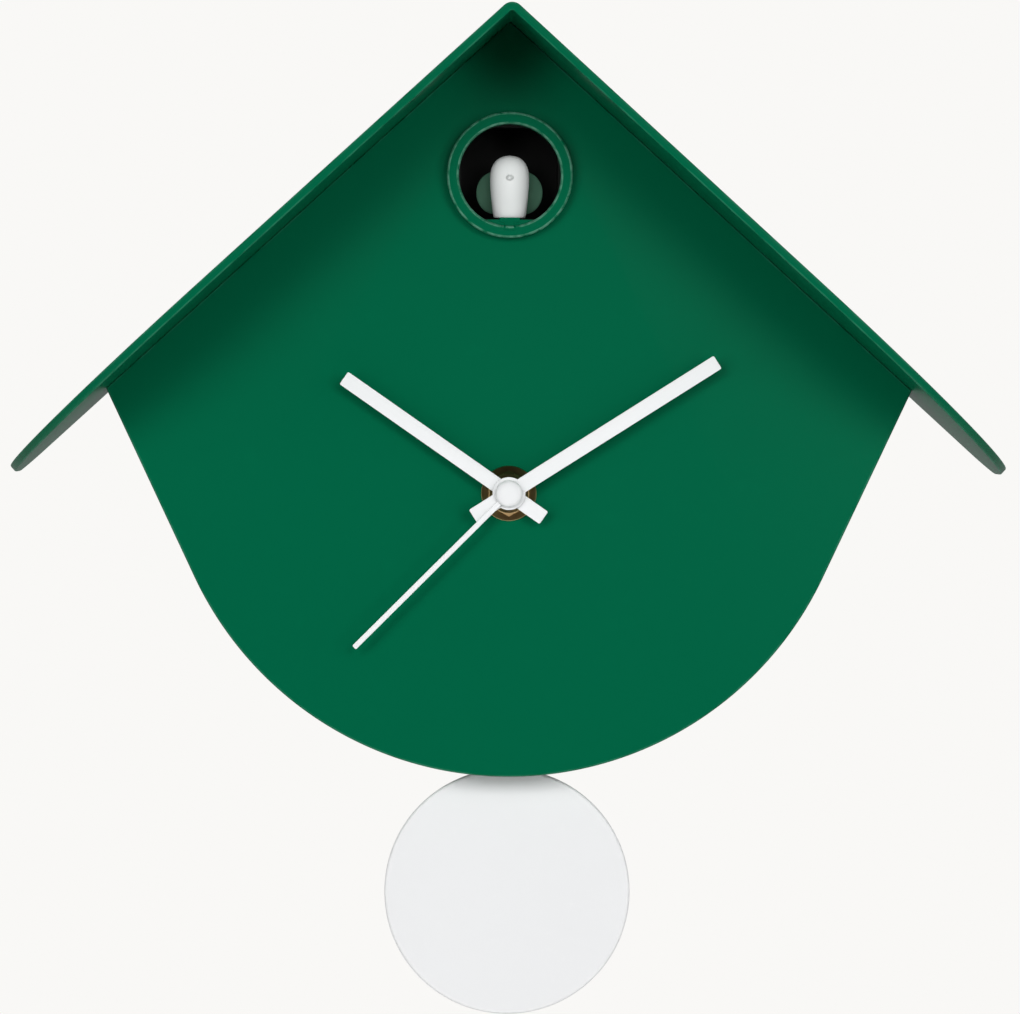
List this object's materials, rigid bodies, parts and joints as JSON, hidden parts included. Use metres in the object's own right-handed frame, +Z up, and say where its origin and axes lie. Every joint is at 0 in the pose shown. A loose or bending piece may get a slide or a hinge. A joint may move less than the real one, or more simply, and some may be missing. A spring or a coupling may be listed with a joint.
{
  "type": "cuckoo clock",
  "caption": "Wall cuckoo clock with a deep pitched roof, a rounded case, a bird behind a round window, three hands and a round pendulum disc.",
  "frame": {"origin": "centre of the hanging keyhole's round entry, on the wall plane", "axes": "+Z up, +Y into the wall, -Y towards the viewer, +X to the viewer's right"},
  "size_m": [0.3, 0.105, 0.3007],
  "materials": {
    "bird_plastic": "matt white",
    "black_plastic": "matt black",
    "board_laminate": "solder mask",
    "brass": "turned",
    "cap_plastic": "satin white",
    "case_plastic": "satin moulded green",
    "cell_sleeve": "printed sleeve without lettering",
    "cone_paper": "pressed paper",
    "contact_nickel": "nickel plated",
    "copper_wire": "enamelled wire",
    "cover_plastic": "fine textured dark grey",
    "disc_plastic": "matt white lacquer",
    "gasket_rubber": "soft",
    "gear_plastic": "smooth natural",
    "hand_metal": "satin white paint",
    "iron": "stamped lamination",
    "lead_insulation": "smooth insulation",
    "magnet": "ground ferrite",
    "motor_steel": "plain drawn can",
    "movement_plastic": "fine textured black",
    "ring_plastic": "satin moulded green",
    "roof_plastic": "satin moulded green",
    "screw_steel": "zinc plated",
    "speaker_steel": "stamped and painted"
  },
  "bodies": {
    "case": {"roof_shell": "roof_plastic", "front_case": "case_plastic", "window_ring": "ring_plastic", "back_cover": "cover_plastic", "cover_screws": "screw_steel", "roof_screws": "screw_steel", "small_screws": "screw_steel", "bird_housing": "black_plastic", "bird_motor": "motor_steel", "movement_front_shell": "movement_plastic", "movement_rear_shell": "movement_plastic", "rubber_gasket": "gasket_rubber", "threaded_bushing": "brass", "brass_washer": "brass", "hex_nut": "brass", "stator": "iron", "coil_bobbin": "gear_plastic", "coil_winding": "copper_wire", "clock_board": "board_laminate", "quartz_crystal": "motor_steel", "circuit_chips": "black_plastic", "battery_tray": "black_plastic", "battery_cells": "cell_sleeve", "battery_springs": "contact_nickel", "battery_plates": "contact_nickel", "speaker_frame": "speaker_steel", "speaker_cone": "cone_paper", "speaker_magnet": "magnet", "sound_board": "board_laminate", "switch_body": "motor_steel", "internal_leads": "lead_insulation", "pendulum_bracket": "black_plastic", "pendulum_pin": "screw_steel", "pendulum_coil": "copper_wire"},
    "seconds": {"second_hand": "hand_metal", "centre_cap": "cap_plastic", "seconds_wheel": "gear_plastic"},
    "minutes": {"minute_hand": "hand_metal", "minute_pipe": "brass", "clutch_washer": "screw_steel"},
    "hours": {"hour_hand": "hand_metal", "hour_wheel": "gear_plastic"},
    "setting": {"minute_wheel": "gear_plastic", "set_knob": "black_plastic"},
    "centre": {"centre_wheel": "brass"},
    "third": {"third_wheel": "gear_plastic"},
    "intermediate": {"intermediate_wheel": "gear_plastic"},
    "rotor": {"rotor_pinion": "gear_plastic", "rotor_magnet": "magnet"},
    "bird": {"bird_carriage": "ring_plastic", "bird_body": "bird_plastic", "bird_wings": "bird_plastic"},
    "bird_drive": {"bird_pinion": "gear_plastic"},
    "switch": {"switch_slider": "black_plastic"},
    "door": {"battery_door": "cover_plastic"},
    "pendulum": {"pendulum_hanger": "gear_plastic", "pendulum_magnet": "magnet", "pendulum_rod": "screw_steel", "pendulum_disc": "disc_plastic"}
  },
  "joints": [
    {"name": "second_spin", "type": "hinge", "parent": "case", "child": "seconds", "pos_m": [0, -0.03, -0.118], "axis": [0, 1, 0], "continuous": true},
    {"name": "intermediate_spin", "type": "hinge", "parent": "case", "child": "intermediate", "pos_m": [-0.00919, -0.03, -0.10881], "axis": [0, 1, 0], "continuous": true},
    {"name": "rotor_spin", "type": "hinge", "parent": "case", "child": "rotor", "pos_m": [-0.01093, -0.03, -0.09896], "axis": [0, 1, 0], "continuous": true},
    {"name": "third_spin", "type": "hinge", "parent": "case", "child": "third", "pos_m": [-0.00848, -0.03, -0.12648], "axis": [0, 1, 0], "continuous": true},
    {"name": "centre_spin", "type": "hinge", "parent": "case", "child": "centre", "pos_m": [0, -0.03, -0.118], "axis": [0, 1, 0], "continuous": true},
    {"name": "minute_spin", "type": "hinge", "parent": "case", "child": "minutes", "pos_m": [0, -0.03, -0.118], "axis": [0, 1, 0], "continuous": true},
    {"name": "setting_spin", "type": "hinge", "parent": "case", "child": "setting", "pos_m": [0.00848, -0.03, -0.12648], "axis": [0, 1, 0], "continuous": true},
    {"name": "hour_spin", "type": "hinge", "parent": "case", "child": "hours", "pos_m": [0, -0.03, -0.118], "axis": [0, 1, 0], "continuous": true},
    {"name": "bird_slide", "type": "slide", "parent": "case", "child": "bird", "axis": [0, -1, 0], "range_m": [0, 0.02]},
    {"name": "bird_pinion_spin", "type": "hinge", "parent": "case", "child": "bird_drive", "pos_m": [0, -0.035, -0.0419], "axis": [1, 0, 0], "range_deg": [-5, 390]},
    {"name": "switch_slide", "type": "slide", "parent": "case", "child": "switch", "axis": [1, 0, 0], "range_m": [-0.002, 0.002]},
    {"name": "battery_door_hinge", "type": "hinge", "parent": "case", "child": "door", "pos_m": [0.06, -0.0015, -0.0983], "axis": [1, 0, 0], "range_deg": [0, 90]},
    {"name": "pendulum_swing", "type": "hinge", "parent": "case", "child": "pendulum", "pos_m": [0, -0.024, -0.155], "axis": [0, 1, 0], "range_deg": [-8, 8]}
  ],
  "couplings": [
    {"joint": "intermediate_spin", "follows": "second_spin", "ratio": -5},
    {"joint": "rotor_spin", "follows": "second_spin", "ratio": 30},
    {"joint": "third_spin", "follows": "second_spin", "ratio": -0.13333},
    {"joint": "centre_spin", "follows": "second_spin", "ratio": 0.016667},
    {"joint": "setting_spin", "follows": "minute_spin", "ratio": -0.33333},
    {"joint": "hour_spin", "follows": "minute_spin", "ratio": 0.083333},
    {"joint": "bird_pinion_spin", "follows": "bird_slide", "rad_per_m": 333.33}
  ]
}
